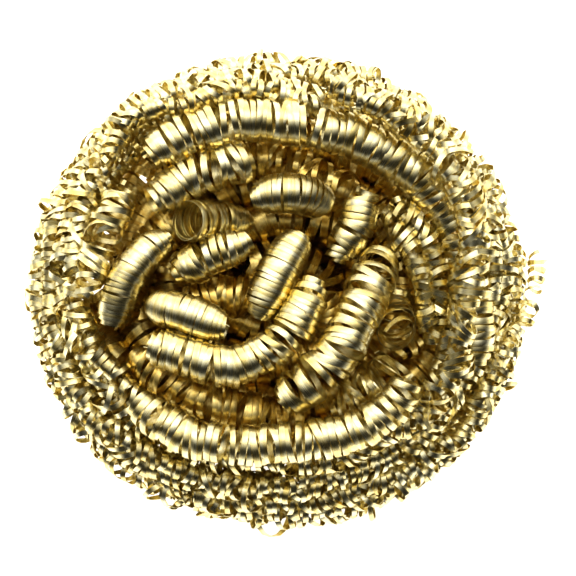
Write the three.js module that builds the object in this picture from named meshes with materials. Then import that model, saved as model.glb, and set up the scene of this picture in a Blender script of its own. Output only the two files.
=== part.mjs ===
// A wad of brass for wiping soldering tips: curled brass ribbon in many loose coils, wound round
// a shallow bun, layer on layer, with the last coils folded across the top.
// Each coil of ribbon is one solid here: the round envelope that its turns fill.
// Millimetres, +Z up, origin under the middle of the wad on the surface it stands on.
import * as THREE from "three";

// Driving dimensions
const COIL_R = 1.95; // envelope radius of one coil of ribbon
const LOOSE_R = 1.1; // of a coil's end that is drawn out thin
const GAP = 0.34; // between two coils' envelopes
const SECTION_SIDES = 8; // sides of a coil's section, with a flat one downwards
const LAP_PITCH = 4.3; // between laps of one layer
const LAYER_PITCH = 4.15; // between layers
const HALF_WIDTH = 26; // of the bun, to the axis of its widest lap
const HALF_HEIGHT = 17.9; // of the oval that the bun is cut from
const OVAL = 1.9; // how much shorter each lap's half width is front to back than side to side
const TILT = 0.08; // share by which the laps climb at the back and drop at the front
const TOP_LAYER = 6; // the layer whose outer lap is the shoulder of the bun
const FOLD_LAYER = 5; // the first layer whose middle is folds instead of laps
const INNERMOST = 4.6; // half width where an inner lap stops

// The coil that lies on the surface touches it with a flat side
const BASE_Z = COIL_R * Math.cos(Math.PI / SECTION_SIDES);

// Settling: coils start near their places and are eased apart until none overlap
const BEAD = 2.2; // spacing of the points that stand for a coil
const REACH = 2 * COIL_R + 2; // points this close are watched
const TOP_GIVE = 0.15; // how readily the top coils move, against 1 for the others
const PASSES = 440;
const HOME_PASSES = 375; // after these, nothing pulls the points back to their places
const HOME_PULL = 0.015; // share of the way back to its place that a point moves in each pass
const TOP_PULL = 0.06; // the same for the top coils
const LENGTH_HOLD = 0.5; // share of a spacing error that each pass takes out
const BEND_HOLD = 0.06; // share of the way towards its neighbours' middle that a point moves
const TIGHTEST = 3.4; // radius of the tightest bend that a coil takes
const BENT_SPAN = 2 * BEAD * Math.cos(BEAD / TIGHTEST / 2); // between points two apart in that bend
const PART_SHARE = 0.9; // share of an overlap that is taken out in each pass
const OWN_NEIGHBOURS = 4; // points of one coil this close along it are not kept apart

// Length of a step along a coil's solid: laps are wide curves, folds are tight ones
const LAP_STEP = 4.6;
const FOLD_STEP = 2.6;

const GOLDEN_ANGLE = Math.PI * (3 - Math.sqrt(5)); // turns each layer's ends away from the last one's

// Coils that fold across the top: [envelope radius, route], and each route's points are [x, y, z]
const TOP_FOLDS = {
  fold_back_left: [2.0, [
    [-13.2, 7.4, 27.0], [-11.8, 9.0, 27.8], [-9.4, 10.1, 28.2], [-6.6, 10.6, 28.2], [-4.0, 10.6, 27.8],
  ]],
  fold_back_middle: [1.9, [[-1.4, 7.8, 27.0], [0.2, 8.2, 28.2], [2.0, 8.2, 28.6], [3.8, 7.6, 28.4], [5.4, 6.6, 27.4]]],
  fold_open_end: [1.8, [[-9.4, 5.2, 27.2], [-7.2, 5.8, 26.6], [-5.2, 6.0, 25.8], [-3.6, 5.8, 25.0]]],
  fold_left_middle: [1.8, [
    [-10.8, -0.2, 27.0], [-9.4, 0.5, 27.8], [-7.6, 1.1, 28.2], [-5.4, 1.9, 28.2], [-3.8, 2.4, 27.4],
  ]],
  fold_centre: [1.9, [
    [2.4, 3.4, 26.8], [1.8, 2.2, 27.6], [0.8, 0.4, 28.1], [-0.4, -1.4, 28.1], [-1.5, -3.2, 27.4], [-2.3, -4.6, 26.6],
  ]],
  fold_left: [1.65, [
    [-11.6, 3.4, 27.0], [-12.8, 2.2, 27.6], [-14.6, 0.4, 27.8], [-16.6, -1.2, 27.2], [-17.4, -3.4, 26.6],
    [-17.2, -5.4, 26.0],
  ]],
  fold_left_front: [1.8, [
    [-13.4, -2.8, 27.0], [-12.2, -3.3, 27.8], [-10.0, -4.2, 28.2], [-7.6, -5.3, 28.2], [-5.6, -6.5, 27.6],
  ]],
  fold_front: [1.85, [
    [-12.8, -8.0, 26.8], [-11.4, -9.3, 27.6], [-8.6, -10.3, 27.8], [-5.4, -10.8, 27.8], [-2.0, -10.4, 27.8],
    [0.9, -8.6, 28.0], [2.9, -6.0, 28.0], [3.8, -3.4, 27.8], [4.0, -1.8, 27.2],
  ]],
  fold_right: [2.1, [
    [11.4, 2.2, 27.0], [10.8, 0.4, 27.8], [9.8, -1.8, 28.2], [8.7, -5.0, 28.2], [7.4, -8.2, 28.0], [5.6, -10.9, 27.6],
    [3.1, -12.9, 27.2], [0.8, -13.8, 26.6],
  ]],
  fold_right_middle: [1.7, [[6.2, 1.4, 26.2], [7.4, 3.0, 26.8], [8.8, 5.2, 26.8], [9.6, 7.4, 26.2]]],
  fold_right_shoulder: [1.95, [
    [12.8, 7.6, 26.4], [14.4, 6.0, 27.0], [16.4, 3.6, 26.6], [17.2, 0.2, 26.2], [17.2, -3.4, 25.6], [16.6, -6.8, 24.6],
  ]],
  fold_upright_end: [1.85, [[13.0, -6.6, 27.0], [13.2, -6.0, 25.0], [13.2, -4.6, 23.2], [13.0, -2.6, 22.2]]],
  fold_open_coil: [2.05, [[6.2, -15.0, 22.6], [8.6, -13.6, 23.6], [10.9, -11.8, 24.2], [12.4, -9.8, 24.2]]],
  fold_far_left: [1.65, [[-15.2, 8.6, 25.8], [-17.0, 5.6, 26.8], [-18.4, 2.4, 26.8], [-18.9, -0.6, 26.6], [-19.0, -2.6, 26.2]]],
  rim_arc_back: [1.95, [
    [-13.8, 12.3, 28.0], [-11.0, 13.8, 28.5], [-6.3, 15.4, 28.8], [0.6, 15.6, 28.8], [7.0, 14.5, 28.6],
    [12.2, 12.0, 28.0], [15.8, 8.6, 27.2], [18.4, 4.0, 26.2], [19.7, -0.8, 25.4], [20.0, -5.6, 24.6], [19.6, -10.0, 23.6],
  ]],
  rim_arc_front: [1.85, [
    [-14.2, -14.2, 24.6], [-12.6, -16.2, 25.8], [-9.0, -18.4, 26.8], [-4.2, -19.0, 27.0], [1.0, -18.2, 27.0],
    [5.8, -18.0, 27.0], [10.6, -16.8, 26.8], [13.2, -14.4, 26.8], [14.6, -12.8, 26.2],
  ]],
};

// Coils in the layer below those, which show between them
const UNDER_FOLDS = {
  under_back: [
    [-12.6, 9.8, 22.6], [-9.0, 12.2, 23.0], [-4.0, 13.2, 23.2], [1.2, 12.8, 23.4], [5.8, 10.8, 23.4], [9.4, 7.8, 22.8],
  ],
  under_right: [
    [14.2, 5.6, 23.0], [14.6, 1.8, 22.6], [13.8, -2.6, 22.0], [11.4, -6.6, 21.4], [8.4, -9.6, 21.2],
  ],
  under_front: [
    [-15.6, -9.6, 22.0], [-12.0, -13.0, 22.6], [-7.4, -15.2, 23.2], [-2.6, -16.4, 23.0], [2.0, -17.0, 22.4],
  ],
  under_hairpin: [
    [-9.0, -2.4, 23.0], [-4.4, -2.2, 23.2], [0.6, -2.6, 23.2], [5.2, -3.4, 23.0], [7.6, -6.0, 22.8],
    [5.4, -8.6, 22.8], [0.6, -9.0, 22.8],
  ],
  under_left: [
    [-16.8, -4.8, 21.8], [-16.4, 0.6, 22.2], [-13.2, 5.2, 22.2], [-9.4, 6.8, 22.0],
  ],
};

// A loose end that has sprung out of the side
const LOOSE_END = [[23.4, -9.8, 22.2], [25.4, -6.6, 21.0], [27.0, -3.0, 19.4], [28.0, 0.4, 17.6], [28.2, 3.2, 16.0]];

// A smooth wobble that differs for each seed, about 1 at most.
function wobble(angle, seed) {
  return 0.5 * Math.sin(2 * angle + 1.7 * seed) + 0.3 * Math.sin(3 * angle + 2.9 * seed)
    + 0.2 * Math.sin(5 * angle + 4.3 * seed);
}

// Half width of the bun, to the axis of its outer lap, at a height counted in layers.
function girth(layer) {
  return HALF_WIDTH * Math.sqrt(1 - (((layer - TOP_LAYER / 2) * LAYER_PITCH) / HALF_HEIGHT) ** 2);
}

// Points of one coil that winds round the wad for some turns, moving inwards and upwards.
function winding({ start, turns, half, inward = 0, layer, climb = 0, sway = 1, seed }) {
  const steps = Math.ceil(turns * 40);
  return Array.from({ length: steps + 1 }, (_, i) => {
    const turn = (i / steps) * turns;
    const angle = start + 2 * Math.PI * turn;
    const level = layer + climb * turn;
    const reach = half(level) - inward * turn + 0.7 * sway * wobble(angle, seed);
    const lift = level * LAYER_PITCH * (1 + TILT * Math.sin(angle));
    return new THREE.Vector3(
      reach * Math.cos(angle),
      (reach - OVAL) * Math.sin(angle),
      BASE_Z + lift + 0.6 * sway * wobble(angle, seed + 3),
    );
  });
}

// One flat spiral, from one half width in to another.
function spiral(layer, from, to, sway) {
  const turns = (from - to) / LAP_PITCH;
  const start = layer * GOLDEN_ANGLE;
  return winding({ start, turns, half: () => from, inward: LAP_PITCH, layer, sway, seed: layer });
}

// The coils, each with its route, the step of its solid, its radius, and how readily it gives way.
function coils() {
  const all = [];
  const byHand = (points) => points.map((p) => new THREE.Vector3(...p));
  const add = (name, route, step, radius = COIL_R, give = 1) => all.push({ name, route, step, radius, give });
  add("base_spiral", spiral(0, girth(0), 3.2, 0), LAP_STEP, COIL_R, 0);
  for (let layer = 1; layer < FOLD_LAYER; layer++)
    add(`inner_spiral_${layer}`, spiral(layer, girth(layer) - LAP_PITCH - 0.2, INNERMOST, 0.6), LAP_STEP);
  for (let layer = 1; layer < TOP_LAYER; layer++) {
    const start = (layer - 1) * 2 * Math.PI * 1.06;
    add(`side_wrap_${layer}`, winding({ start, turns: 0.98, half: girth, layer, climb: 0.9, seed: layer }), LAP_STEP);
  }
  add("shoulder_wrap", winding({ start: 0.5, turns: 0.34, half: girth, layer: 5.7, seed: 2 }), LAP_STEP);
  for (const [name, points] of Object.entries(UNDER_FOLDS)) add(name, byHand(points), FOLD_STEP);
  for (const [name, [radius, points]] of Object.entries(TOP_FOLDS))
    add(name, byHand(points), FOLD_STEP, radius, TOP_GIVE);
  add("loose_end", byHand(LOOSE_END), FOLD_STEP, LOOSE_R);
  return all;
}

// Replaces each coil's route with evenly spaced points.
function string(coil) {
  const curve = new THREE.CatmullRomCurve3(coil.route, false, "centripetal");
  const spans = Math.max(4, Math.round(curve.getLength() / BEAD));
  coil.route = curve.getSpacedPoints(spans);
  coil.spacing = curve.getLength() / spans;
  coil.home = coil.route.map((p) => p.clone());
}

// Pairs of points that are close enough to meet soon.
function closePairs(points) {
  const pairs = [];
  points.forEach((a, i) => {
    for (const b of points.slice(i + 1)) {
      const neighbours = a.coil === b.coil && b.at - a.at < OWN_NEIGHBOURS;
      if (!neighbours && a.p.distanceToSquared(b.p) < REACH * REACH) pairs.push([a, b]);
    }
  });
  return pairs;
}

const apart = new THREE.Vector3();

// Moves two points apart where their coils overlap.
function part(a, b) {
  const clear = a.coil.radius + b.coil.radius + GAP;
  const gap = apart.subVectors(b.p, a.p).length();
  const give = a.coil.give + b.coil.give;
  if (gap >= clear || give === 0) return;
  apart.multiplyScalar((PART_SHARE * (clear - gap)) / gap / give);
  a.p.addScaledVector(apart, -a.coil.give);
  b.p.addScaledVector(apart, b.coil.give);
}

// Brings two points of one coil part of the way to a spacing.
function hold(a, b, spacing) {
  const gap = apart.subVectors(b, a).length();
  apart.multiplyScalar((0.5 * LENGTH_HOLD * (gap - spacing)) / gap);
  b.sub(apart);
  a.add(apart);
}

// Keeps a coil's points evenly spaced and its bends smooth, and none too tight.
function holdTogether({ route, spacing }) {
  for (let i = 1; i < route.length; i++) hold(route[i - 1], route[i], spacing);
  for (let i = 2; i < route.length; i++)
    if (route[i].distanceTo(route[i - 2]) < BENT_SPAN) hold(route[i - 2], route[i], BENT_SPAN);
  for (let i = 1; i < route.length - 1; i++) {
    apart.addVectors(route[i - 1], route[i + 1]).multiplyScalar(0.5);
    route[i].lerp(apart, BEND_HOLD);
  }
}

// Eases the coils apart until none overlap.
function settle(all) {
  all.forEach(string);
  const loose = all.filter((coil) => coil.give > 0);
  const points = all.flatMap((coil) => coil.route.map((p, at) => ({ p, at, coil })));
  let pairs = [];
  for (let pass = 0; pass < PASSES; pass++) {
    if (pass % 10 === 0) pairs = closePairs(points);
    if (pass === HOME_PASSES) for (const coil of loose) coil.give = 1;
    for (const coil of loose) {
      const pull = coil.give === TOP_GIVE ? TOP_PULL : HOME_PULL;
      if (pass < HOME_PASSES) coil.route.forEach((p, i) => p.lerp(coil.home[i], pull));
      holdTogether(coil);
    }
    for (const [a, b] of pairs) part(a, b);
    for (const coil of loose) for (const p of coil.route) p.z = Math.max(p.z, BASE_Z);
  }
}

// The solid of one coil: its section carried along its route.
function envelope(coil, material) {
  const section = new THREE.Shape(
    Array.from({ length: SECTION_SIDES }, (_, i) => {
      const angle = ((i + 0.5) * 2 * Math.PI) / SECTION_SIDES;
      return new THREE.Vector2(coil.radius * Math.cos(angle), coil.radius * Math.sin(angle));
    }),
  );
  const curve = new THREE.CatmullRomCurve3(coil.route, false, "centripetal");
  const steps = Math.max(6, Math.round(curve.getLength() / coil.step));
  const geometry = new THREE.ExtrudeGeometry(section, { steps, bevelEnabled: false, extrudePath: curve });
  const mesh = new THREE.Mesh(geometry, material);
  mesh.name = coil.name;
  return mesh;
}

// Brass, paler where the ribbon is drawn tight and deeper inside the wad.
const brass = (colour) => new THREE.MeshStandardMaterial({ color: colour, metalness: 1, roughness: 0.25 });
const pale = brass(0xe9dc9a);
const deep = brass(0xc9a545);

const wad = new THREE.Group();
const all = coils();
settle(all);
for (const coil of all) wad.add(envelope(coil, /^(inner|under|base)/.test(coil.name) ? deep : pale));

// The middle of the wad goes over the origin, and its lowest face on the surface.
const box = new THREE.Box3().setFromObject(wad);
const middle = box.getCenter(new THREE.Vector3());
wad.position.set(-middle.x, -middle.y, -box.min.z);

export default wad;
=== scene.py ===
import math

import bmesh
import bpy
import numpy as np
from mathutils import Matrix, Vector


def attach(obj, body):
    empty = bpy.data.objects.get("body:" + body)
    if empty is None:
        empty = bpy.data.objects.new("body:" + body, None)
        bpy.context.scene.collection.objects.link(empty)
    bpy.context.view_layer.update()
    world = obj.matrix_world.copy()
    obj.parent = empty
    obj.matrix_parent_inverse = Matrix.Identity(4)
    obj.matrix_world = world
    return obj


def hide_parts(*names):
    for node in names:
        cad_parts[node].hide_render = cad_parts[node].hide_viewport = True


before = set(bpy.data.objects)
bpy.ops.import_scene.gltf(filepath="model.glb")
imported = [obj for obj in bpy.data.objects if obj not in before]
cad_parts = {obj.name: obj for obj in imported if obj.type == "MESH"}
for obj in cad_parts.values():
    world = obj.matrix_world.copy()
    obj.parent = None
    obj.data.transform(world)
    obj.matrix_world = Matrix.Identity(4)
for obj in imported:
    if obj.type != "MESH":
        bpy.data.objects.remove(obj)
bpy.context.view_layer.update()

# Lengths of the ribbon's making are in millimetres, and Blender's are in metres
MM = 0.001

# A CAD coil's axis, found from its solid, and the smooth curve through it
SECTION_SIDES = 8  # of a CAD coil
FLAT_ANGLE = math.radians(0.3)  # faces that meet at less than this are one face
MERGE = 1e-6  # metres within which a CAD coil's vertices are one
ROUND_WITHIN = 20 * MERGE  # metres by which a round face's corners differ in their reach at most
INWARD = ((0.3, 0.3, 1), (-0.2, -0.2, 1))  # shares of an inner end's place where more knots lie
CURVE_STEPS = 24  # points of the curve from each knot to the next
ROUTE_STEP = 0.2  # between its points once they are evened out
FEWEST_STEPS = 8
ODD_WAY = (0.31, 0.17, 0.93)  # no coil sets out this way

# How a ribbon is curled.
# pitch: along the coil for each turn. uneven: how much the steps between turns vary, as a share.
# slits: the share of turns that stand twice as far from the next.
# width, thick: of the ribbon. crown: how far its middle stands above its edges.
# lean: degrees by which one edge lies under the next turn. twist: degrees by which that wanders.
# tilt: how far a turn's plane tips, as a slope. swell: how much its radius changes, as a share.
# shift: how far its centre moves. kink: how far its corners stand out.
# sprung: the share of turns that stand out from the rest. points: for each turn.
# strands: ribbons that are curled side by side round the coil's axis. spread: how far out from the
# axis they lie, as a share of the coil's radius.
# full: how much of its envelope's radius a coil fills, over 1 where it meshes with its neighbours.
TIGHT = dict(
    pitch=0.6, uneven=0.6, slits=0.12, width=0.66, thick=0.05, crown=0.05, lean=4, twist=6, tilt=0.12,
    swell=0.035, shift=0.08, kink=0.0, sprung=0.0, points=24, strands=1, spread=0.0, full=1.13,
)
SMOOTH = {
    **TIGHT, "pitch": 0.4, "uneven": 0.4, "slits": 0.02, "width": 0.5, "crown": 0.02, "twist": 3,
    "tilt": 0.05, "swell": 0.015, "shift": 0.03,
}
BANDED = {**TIGHT, "pitch": 0.72, "width": 0.68, "twist": 8, "tilt": 0.16, "shift": 0.1}
LOOSE = {
    **TIGHT, "pitch": 0.85, "width": 0.6, "crown": 0.0, "twist": 14, "tilt": 0.3, "swell": 0.08,
    "shift": 0.2, "kink": 0.03, "points": 16,
}
DRAWN = {**LOOSE, "pitch": 1.2, "width": 0.5, "full": 0.85}
MESHED = {
    **TIGHT, "pitch": 0.82, "slits": 0.0, "width": 0.55, "crown": 0.0, "twist": 9, "tilt": 0.48,
    "swell": 0.13, "shift": 0.14, "kink": 0.025, "sprung": 0.06, "points": 14, "strands": 3,
    "spread": 0.38, "full": 1.06,
}
BROKEN = {**MESHED, "pitch": 0.9, "width": 0.62, "tilt": 0.45, "spread": 0.4}
INSIDE = {
    **TIGHT, "pitch": 0.95, "slits": 0.0, "width": 0.85, "crown": 0.0, "twist": 8, "tilt": 0.2,
    "swell": 0.05, "shift": 0.12, "points": 12, "full": 1.14,
}
STYLES = {  # by how a coil's name starts
    "base": INSIDE, "inner": INSIDE, "side": MESHED, "shoulder": MESHED, "rim": BANDED, "loose": DRAWN,
    "under": BANDED, "under_right": LOOSE, "under_back": LOOSE,
    "fold_front": BANDED, "fold_right": BANDED, "fold_back_left": BANDED,
    "fold_left": SMOOTH, "fold_centre": SMOOTH, "fold_back_middle": SMOOTH,
    "fold_left_middle": TIGHT, "fold_right_middle": TIGHT, "fold_open_end": TIGHT,
    "fold_far_left": LOOSE, "fold_upright_end": LOOSE, "fold_open_coil": LOOSE,
    "fold_right_shoulder": BROKEN,
}
FIRST_SEED = 100  # for the first coil by name, and one more for each that follows

STRAND_WANDER = 6.0  # millimetres of a coil over which its strands change places
STRAND_SWING = 0.5  # radians by which a strand wanders round the axis
STRAND_STRAY = 0.1  # share of its distance from the axis by which that wanders
SPRUNG_LEAST = 0.2  # the nearest and the furthest that a sprung turn stands out, as shares of its radius
SPRUNG_REACH = 0.9
STEADINESS = 3  # how many times less a ribbon twists from point to point than from turn to turn
WIDTH_DRIFT = 0.06  # share of a ribbon's width by which that wanders

CLOSED_END = 2.8  # millimetres over which a coil's turns shrink to its hidden end
END_SHARE = 0.3  # of the radius that is left there
OPEN_ENDS = {  # the coils with an end that doesn't shrink, and the way that it lies
    "fold_open_end": (-1, 0, 0), "fold_upright_end": (0, 0, 1), "fold_open_coil": (1, 0, 0),
    "fold_back_left": (1, 0, 0), "loose_end": (1, 0, 0),
}

# How a ribbon's faces are shaded, and laid out in texture coordinates
SHARP_ANGLE = math.radians(38)  # between a ribbon's faces
FACE_SHARE = 0.9  # of the way across in the ribbon's own coordinates, and its edge has the rest
ROW_HEIGHT = 1.9  # millimetres of a ribbon's girth, with room, that each row of its picture holds
ROW_MARGIN = 0.1  # share of a row left free on each side
OUTER_FACE = 0.02, 0.48  # where each face lies in the rest of a row
INNER_FACE = 0.52, 0.98

# The brass: its colour where it is pale and where it is deep, and its roughness
BRIGHT = (0.97, 0.9, 0.6), (0.9, 0.73, 0.3), 0.25
# A darker, more amber copy of the brass for the coils inside and under the wad: painted shade in the wad's
# depths
SHADED_INNER = (0.92, 0.76, 0.34), (0.8, 0.56, 0.15), 0.26
# Noise: how often it changes in a millimetre along a ribbon, and in its width
PATCHES = dict(scale=(0.22, 0.6, 1), detail=3)
LINES = dict(scale=(0.5, 34, 1), detail=2)
PATCH_ENDS = 0.35, 0.62  # of the noise, where the colour is deepest and palest
ROUGH_RANGE = 0.7, 1.5  # times the roughness, at the foot of the drawn lines and on their crests
LINE_STRENGTH = 0.25
LINE_DEPTH = 0.00002  # metres

# The camera and the light, in metres and watts
LENS = 150  # millimetres
NEAREST_SEEN = 0.01
ELEVATION = math.radians(80)
CAMERA_AIM = (0, 0, 14.5 * MM)
CAMERA_DISTANCE = 0.262
KEY = dict(size=(1.0, 0.4), power=0.8, place=(-0.08, 0.27, 0.6), aim=(-0.08, 0.0, 0.02))
FLOOR_REACH = 1.5
FLOOR_COLOUR = (0.95, 0.95, 0.94, 1)
FLOOR_ROUGHNESS = 0.9
FLOOR_GLOW = 0.62
ROOM_GLOW = 0.02
# The room's two glows: the cosines of the angles from their middles where each is full and where it
# ends, and its strength
BRIGHT_WAY = (-0.12, 0.7, 0.7)
BACK_GLOW = 1.0, 0.15, 0.9
DOWN = (0, 0, -1)
FOOT_GLOW = -0.05, -0.45, 0.42


def style_of(node):
    """How a coil's ribbon is curled, by the longest start of its name that has a style."""
    return STYLES[max((start for start in STYLES if node.startswith(start)), key=len)]


def is_round(face):
    """Whether a face's corners are all as far from its middle."""
    middle = sum((v.co for v in face.verts), Vector()) / len(face.verts)
    reach = [(v.co - middle).length for v in face.verts]
    return max(reach) - min(reach) < ROUND_WITHIN


def coil_axis(node):
    """The middles of a CAD coil's sections from end to end, in millimetres, and its radius."""
    shape = bmesh.new()
    shape.from_mesh(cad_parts[node].data)
    bmesh.ops.remove_doubles(shape, verts=shape.verts, dist=MERGE)
    bmesh.ops.dissolve_limit(shape, angle_limit=FLAT_ANGLE, verts=shape.verts, edges=shape.edges)
    end = next(face for face in shape.faces if len(face.verts) == SECTION_SIDES and is_round(face))
    ring = set(end.verts)
    seen = set(ring)
    middles = []
    while ring:
        middles.append(np.mean([v.co for v in ring], axis=0) / MM)
        ring = {e.other_vert(v) for v in ring for e in v.link_edges} - seen
        seen |= ring
    radius = np.linalg.norm(np.array(end.verts[0].co) / MM - middles[0])
    shape.free()
    return np.array(middles), radius


def to_middle(knots):
    """A coil's knots with more added, so that its innermost turn closes on the wad's middle."""
    inner = 0 if np.hypot(*knots[0, :2]) < np.hypot(*knots[-1, :2]) else -1
    more = knots[inner] * INWARD
    return np.vstack([more[::-1], knots]) if inner == 0 else np.vstack([knots, more])


def smooth_route(knots):
    """Even steps along a smooth curve through some points, and how far along it each one is."""
    padded = np.vstack([2 * knots[0] - knots[1], knots, 2 * knots[-1] - knots[-2]])
    t = np.linspace(0, 1, CURVE_STEPS, endpoint=False)[:, None]
    before, here, there, after = (padded[i:len(padded) - 3 + i, None] for i in range(4))
    square = 2 * before - 5 * here + 4 * there - after
    cube = 3 * (here - there) + after - before
    curve = here + 0.5 * t * (there - before + t * (square + t * cube))
    curve = np.vstack([curve.reshape(-1, 3), knots[-1]])
    along = np.concatenate([[0], np.cumsum(np.linalg.norm(np.diff(curve, axis=0), axis=1))])
    even = np.linspace(0, along[-1], max(FEWEST_STEPS, round(along[-1] / ROUTE_STEP)))
    return np.stack([np.interp(even, along, curve[:, k]) for k in range(3)], axis=1), even


def unit(vectors):
    return vectors / np.linalg.norm(vectors, axis=-1, keepdims=True)


def carry_frame(route):
    """The way ahead at each point, and two ways square to it that turn as little as the route lets them."""
    forward = unit(np.gradient(route, axis=0))
    side = np.empty_like(route)
    side[0] = unit(np.cross(forward[0], ODD_WAY))
    for i in range(1, len(route)):
        side[i] = side[i - 1] - forward[i] * (side[i - 1] @ forward[i])
        side[i] /= np.linalg.norm(side[i])
    return forward, side, np.cross(forward, side)


def drift(rng, turn, amount):
    """A number that wanders about nought by a usual amount, with a new aim each turn."""
    aims = rng.normal(0, amount, int(turn[-1]) + 3)
    whole = turn.astype(int)
    part = turn - whole
    ease = part * part * (3 - 2 * part)
    return aims[whole] * (1 - ease) + aims[whole + 1] * ease


def spring(rng, turn, share):
    """How much further out each point stands, as a share, where a few turns have sprung loose."""
    turns = int(turn[-1]) + 2
    out = np.where(rng.random(turns) < share, rng.uniform(SPRUNG_LEAST, SPRUNG_REACH, turns), 0)
    return out[turn.astype(int)] * np.sin(np.pi * (turn % 1))


def end_shares(even, at, route, open_way):
    """How much of its full radius a coil has at each point: its turns shrink towards a hidden end."""
    share = np.ones_like(at)
    for here, there, depth in ((0, -1, at), (-1, 0, even[-1] - at)):
        if open_way is not None and (route[here] - route[there]) @ open_way > 0:
            continue
        closing = np.clip(1 - depth / CLOSED_END, 0, 1)
        share *= END_SHARE + (1 - END_SHARE) * np.sqrt(1 - closing ** 2)
    return share


def strand_route(rng, route, radius, style, number):
    """Where one of a coil's strands runs, and the radius that it is curled to."""
    if style["strands"] == 1:
        return route, radius
    _, side, up = carry_frame(route)
    wander = np.linspace(0, len(route) * ROUTE_STEP / STRAND_WANDER, len(route))
    angle = 2 * np.pi * number / style["strands"] + drift(rng, wander, STRAND_SWING)
    out = radius * style["spread"] * (1 + drift(rng, wander, STRAND_STRAY))
    away = side * np.cos(angle)[:, None] + up * np.sin(angle)[:, None]
    return route + away * out[:, None], radius * (1 - style["spread"])


def turn_starts(rng, turns, length, style):
    """How far along a coil each of its turns starts, and where the last one ends."""
    steps = rng.uniform(1 - style["uneven"], 1 + style["uneven"], turns)
    steps[rng.random(turns) < style["slits"]] *= 2
    return np.concatenate([[0], np.cumsum(steps)]) / steps.sum() * length


def curl(rng, route, even, radius, style, open_way):
    """The sections of one ribbon curled round a route: points, ring by ring, and its length at each."""
    turns = max(2, round(even[-1] / style["pitch"]))
    starts = turn_starts(rng, turns, even[-1], style)
    turn = np.arange(turns * style["points"] + 1) / style["points"]
    at = np.interp(turn, np.arange(turns + 1), starts)
    angle = 2 * np.pi * (turn + rng.uniform())
    cosine, sine = np.cos(angle), np.sin(angle)

    grown = 1 + drift(rng, turn, style["swell"]) + spring(rng, turn, style["sprung"])
    reach = (radius * grown - style["thick"] / 2) * end_shares(even, at, route, open_way)
    reach = reach + rng.normal(0, style["kink"], len(turn))
    across = reach * cosine + drift(rng, turn, style["shift"])
    above = reach * sine + drift(rng, turn, style["shift"])
    slope = drift(rng, turn, style["tilt"]), drift(rng, turn, style["tilt"])
    ahead = slope[0] * reach * cosine + slope[1] * reach * sine

    def on_route(values):
        return np.stack([np.interp(at, even, values[:, k]) for k in range(3)], axis=1)

    axis, forward, side, up = (on_route(values) for values in (route, *carry_frame(route)))
    points = axis + forward * ahead[:, None] + side * across[:, None] + up * above[:, None]
    outward = side * cosine[:, None] + up * sine[:, None]
    return ribbon_sections(rng, points, outward, turn, style)


def ribbon_sections(rng, points, outward, turn, style):
    """The sections of a ribbon that runs through some points, face outward, and its length at each."""
    along = unit(np.gradient(points, axis=0))
    wide = unit(np.cross(along, outward))
    face = np.cross(wide, along)
    twist = drift(rng, turn, style["twist"]) + rng.normal(0, style["twist"] / STEADINESS, len(turn))
    turned = np.radians(style["lean"] + twist)
    cosine, sine = np.cos(turned)[:, None], np.sin(turned)[:, None]
    wide, face = wide * cosine + face * sine, face * cosine - wide * sine

    half_wide = style["width"] / 2 * (1 + drift(rng, turn, WIDTH_DRIFT))[:, None]
    half_thick = style["thick"] / 2
    crown = style["crown"]
    section = ((-1, half_thick), (0, half_thick + crown), (1, half_thick),
               (1, -half_thick), (0, crown - half_thick), (-1, -half_thick))
    if crown == 0:
        section = tuple(corner for corner in section if corner[0])
    rings = np.stack([points + wide * half_wide * x + face * z for x, z in section], axis=1)
    rings[..., 2] = np.maximum(rings[..., 2], 0)  # none goes through the floor
    length = np.concatenate([[0], np.cumsum(np.linalg.norm(np.diff(points, axis=0), axis=1))])
    return rings, length


def strip_faces(count, sides):
    """The quads round a strip of some sections, and the quads that close its two ends."""
    ring = np.arange(count - 1)[:, None] * sides
    corner = np.arange(sides)[None]
    after = (corner + 1) % sides
    quads = np.stack([ring + corner, ring + after, ring + sides + after, ring + sides + corner], axis=2)
    end = np.array([(k, k + 1, sides - 2 - k, sides - 1 - k) for k in range(sides // 2 - 1)])
    return quads.reshape(-1, 4), np.vstack([end[:, ::-1], end + (count - 1) * sides])


def strip_coords(first, after, across, across_after):
    """Texture coordinates of every quad of a strip, from how far along and across it the corners lie."""
    corners = (first, across), (first, across_after), (after, across_after), (after, across)
    return np.stack([np.stack(np.broadcast_arrays(*corner), axis=-1) for corner in corners], axis=2)


def ribbon_coords(length, sides):
    """Coordinates that run along a ribbon in millimetres, and from 0 to 1 across it."""
    half = sides // 2
    across = np.concatenate([np.linspace(0, FACE_SHARE, half), np.linspace(1, 1 - FACE_SHARE, half)])
    return strip_coords(length[:-1, None], length[1:, None], across, np.roll(across, -1))


def picture_coords(first_quad, count, sides, rows, per_row):
    """Coordinates that lay a strip's quads out in rows of a square picture, so that none overlap."""
    half = sides // 2
    girth = np.concatenate([np.linspace(*OUTER_FACE, half), np.linspace(*INNER_FACE, half)])
    row, column = np.divmod(first_quad + np.arange(count)[:, None], per_row)

    def up(shares):
        return (row + ROW_MARGIN + (1 - 2 * ROW_MARGIN) * shares) / rows

    return strip_coords(column / per_row, (column + 1) / per_row, up(girth), up(np.append(girth[1:], 1)))


def with_ends(coords, ends):
    """A strip's texture coordinates in one list, and the first again for each corner of its ends."""
    flat = coords.reshape(-1, 2)
    return np.vstack([flat, np.repeat(flat[:1], ends.size, axis=0)])


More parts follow.
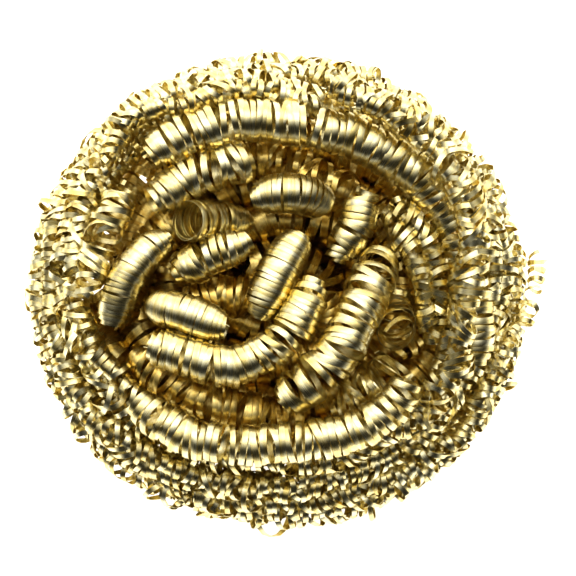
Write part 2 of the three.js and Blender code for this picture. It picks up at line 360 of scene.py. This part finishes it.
def ribbon_mesh(name, ribbons):
    """One piece of some ribbons, each a closed strip, with both kinds of texture coordinates."""
    rows = math.ceil(math.sqrt(sum(length[-1] for _, length in ribbons) / ROW_HEIGHT))
    per_row = math.ceil(sum(len(length) - 1 for _, length in ribbons) / rows)
    verts, faces, coords, places = [], [], [], []
    start = laid = 0
    for rings, length in ribbons:
        count, sides = rings.shape[:2]
        quads, ends = strip_faces(count, sides)
        verts.append(rings.reshape(-1, 3) * MM)
        faces.append(np.vstack([quads, ends]) + start)
        coords.append(with_ends(ribbon_coords(length, sides), ends))
        places.append(with_ends(picture_coords(laid, count - 1, sides, rows, per_row), ends))
        start += count * sides
        laid += count - 1
    mesh = bpy.data.meshes.new(name)
    mesh.from_pydata(np.vstack(verts), [], np.vstack(faces))
    for layer_name, uv in (("ribbon", coords), ("OFBake", places)):
        layer = mesh.uv_layers.new(name=layer_name)
        layer.data.foreach_set("uv", np.vstack(uv).astype(np.float32).ravel())
    mesh.shade_smooth()
    mesh.set_sharp_from_angle(angle=SHARP_ANGLE)
    piece = bpy.data.objects.new(name, mesh)
    bpy.context.scene.collection.objects.link(piece)
    return piece


def brass(name, pale, deep, rough):
    """Bright drawn ribbon: fine lines along its length, and slow changes of colour from turn to turn."""
    material = bpy.data.materials.new(name)
    material.use_nodes = True
    nodes, links = material.node_tree.nodes, material.node_tree.links
    shader = nodes["Principled BSDF"]
    shader.inputs["Metallic"].default_value = 1.0
    where = nodes.new("ShaderNodeUVMap")
    where.uv_map = "ribbon"

    def noise(scale, detail):
        place = nodes.new("ShaderNodeMapping")
        place.inputs["Scale"].default_value = scale
        texture = nodes.new("ShaderNodeTexNoise")
        texture.inputs["Scale"].default_value = 1.0
        texture.inputs["Detail"].default_value = detail
        links.new(where.outputs["UV"], place.inputs["Vector"])
        links.new(place.outputs["Vector"], texture.inputs["Vector"])
        return texture.outputs["Fac"]

    patches = noise(**PATCHES)
    colours = nodes.new("ShaderNodeValToRGB")
    for stop, at, colour in zip(colours.color_ramp.elements, PATCH_ENDS, (deep, pale)):
        stop.position = at
        stop.color = (*colour, 1)
    links.new(patches, colours.inputs["Fac"])
    links.new(colours.outputs["Color"], shader.inputs["Base Color"])

    lines = noise(**LINES)
    roughness = nodes.new("ShaderNodeMapRange")
    roughness.inputs["To Min"].default_value = rough * ROUGH_RANGE[0]
    roughness.inputs["To Max"].default_value = rough * ROUGH_RANGE[1]
    links.new(lines, roughness.inputs["Value"])
    links.new(roughness.outputs["Result"], shader.inputs["Roughness"])
    bump = nodes.new("ShaderNodeBump")
    bump.inputs["Strength"].default_value = LINE_STRENGTH
    bump.inputs["Distance"].default_value = LINE_DEPTH
    links.new(lines, bump.inputs["Height"])
    links.new(bump.outputs["Normal"], shader.inputs["Normal"])
    return material


def add_camera():
    """Looks down on the wad, a little from the front, with its outline just inside the picture."""
    data = bpy.data.cameras.new("camera")
    data.lens = LENS
    data.clip_start = NEAREST_SEEN
    camera = bpy.data.objects.new("camera", data)
    bpy.context.scene.collection.objects.link(camera)
    away = Vector((0, -math.cos(ELEVATION), math.sin(ELEVATION)))
    camera.location = Vector(CAMERA_AIM) + away * CAMERA_DISTANCE
    camera.rotation_euler = (math.radians(90) - ELEVATION, 0, 0)
    bpy.context.scene.camera = camera


def add_area(name, size, power, place, aim):
    data = bpy.data.lights.new(name, "AREA")
    data.shape = "RECTANGLE"
    data.size, data.size_y = size
    data.energy = power
    light = bpy.data.objects.new(name, data)
    light.location = place
    light.rotation_euler = (Vector(aim) - Vector(place)).to_track_quat("-Z", "Y").to_euler()
    bpy.context.scene.collection.objects.link(light)


def glow_room():
    """A pale room that is brightest one way and round its foot, and dim elsewhere, with soft changes."""
    world = bpy.data.worlds.new("room")
    world.use_nodes = True
    nodes, links = world.node_tree.nodes, world.node_tree.links
    where = nodes.new("ShaderNodeTexCoord")

    def glow(middle, full, none, strength):
        facing = nodes.new("ShaderNodeVectorMath")
        facing.operation = "DOT_PRODUCT"
        facing.inputs[1].default_value = middle
        fall = nodes.new("ShaderNodeMapRange")
        fall.interpolation_type = "SMOOTHERSTEP"
        fall.inputs["From Min"].default_value = none
        fall.inputs["From Max"].default_value = full
        fall.inputs["To Max"].default_value = strength
        links.new(where.outputs["Generated"], facing.inputs[0])
        links.new(facing.outputs["Value"], fall.inputs["Value"])
        return fall.outputs["Result"]

    both = nodes.new("ShaderNodeMath")
    both.operation = "ADD"
    links.new(glow(BRIGHT_WAY, *BACK_GLOW), both.inputs[0])
    links.new(glow(DOWN, *FOOT_GLOW), both.inputs[1])
    whole = nodes.new("ShaderNodeMath")
    whole.operation = "ADD"
    whole.inputs[1].default_value = ROOM_GLOW
    links.new(both.outputs["Value"], whole.inputs[0])
    links.new(whole.outputs["Value"], nodes["Background"].inputs["Strength"])
    nodes["Background"].inputs["Color"].default_value = (1, 1, 1, 1)
    return world


def add_floor():
    """A wide pale floor that glows a little of itself, so that it stays white under the soft light."""
    mesh = bpy.data.meshes.new("floor")
    corners = [(x * FLOOR_REACH, y * FLOOR_REACH, 0) for x, y in ((-1, -1), (1, -1), (1, 1), (-1, 1))]
    mesh.from_pydata(corners, [], [(0, 1, 2, 3)])
    floor = bpy.data.objects.new("floor", mesh)
    bpy.context.scene.collection.objects.link(floor)
    paint = bpy.data.materials.new("floor_paint")
    paint.use_nodes = True
    shader = paint.node_tree.nodes["Principled BSDF"]
    shader.inputs["Base Color"].default_value = FLOOR_COLOUR
    shader.inputs["Roughness"].default_value = FLOOR_ROUGHNESS
    shader.inputs["Emission Color"].default_value = (1, 1, 1, 1)
    shader.inputs["Emission Strength"].default_value = FLOOR_GLOW
    mesh.materials.append(paint)


def add_stage():
    """The floor, a wide soft light overhead and behind, the room, and how the picture is toned."""
    add_floor()
    add_area("key", **KEY)
    bpy.context.scene.world = glow_room()
    bpy.context.scene.view_settings.view_transform = "Standard"
    bpy.context.scene.view_settings.look = "High Contrast"


def add_coils():
    """Every coil of the CAD model as curled ribbon, with random draws of its own."""
    bright = brass("bright_brass", *BRIGHT)
    # The darker copy of the brass is painted shade for the coils deep in the wad
    inner = brass("inner_brass", *SHADED_INNER)
    for seed, node in enumerate(sorted(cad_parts), FIRST_SEED):
        knots, radius = coil_axis(node)
        if node.startswith(("base", "inner")):
            knots = to_middle(knots)
        route, even = smooth_route(knots)
        style = style_of(node)
        rng = np.random.default_rng(seed)
        ribbons = []
        for strand in range(style["strands"]):
            own_route, own_radius = strand_route(rng, route, radius * style["full"], style, strand)
            ribbons.append(curl(rng, own_route, even, own_radius, style, OPEN_ENDS.get(node)))
        piece = ribbon_mesh(f"curl_{node}", ribbons)
        # Coils inside and under the wad take the darker copy of the brass, as painted shade
        in_shade = node.startswith(("base", "inner", "under"))
        piece.data.materials.append(inner if in_shade else bright)
        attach(piece, "root")
        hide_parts(node)


add_camera()
add_stage()
add_coils()
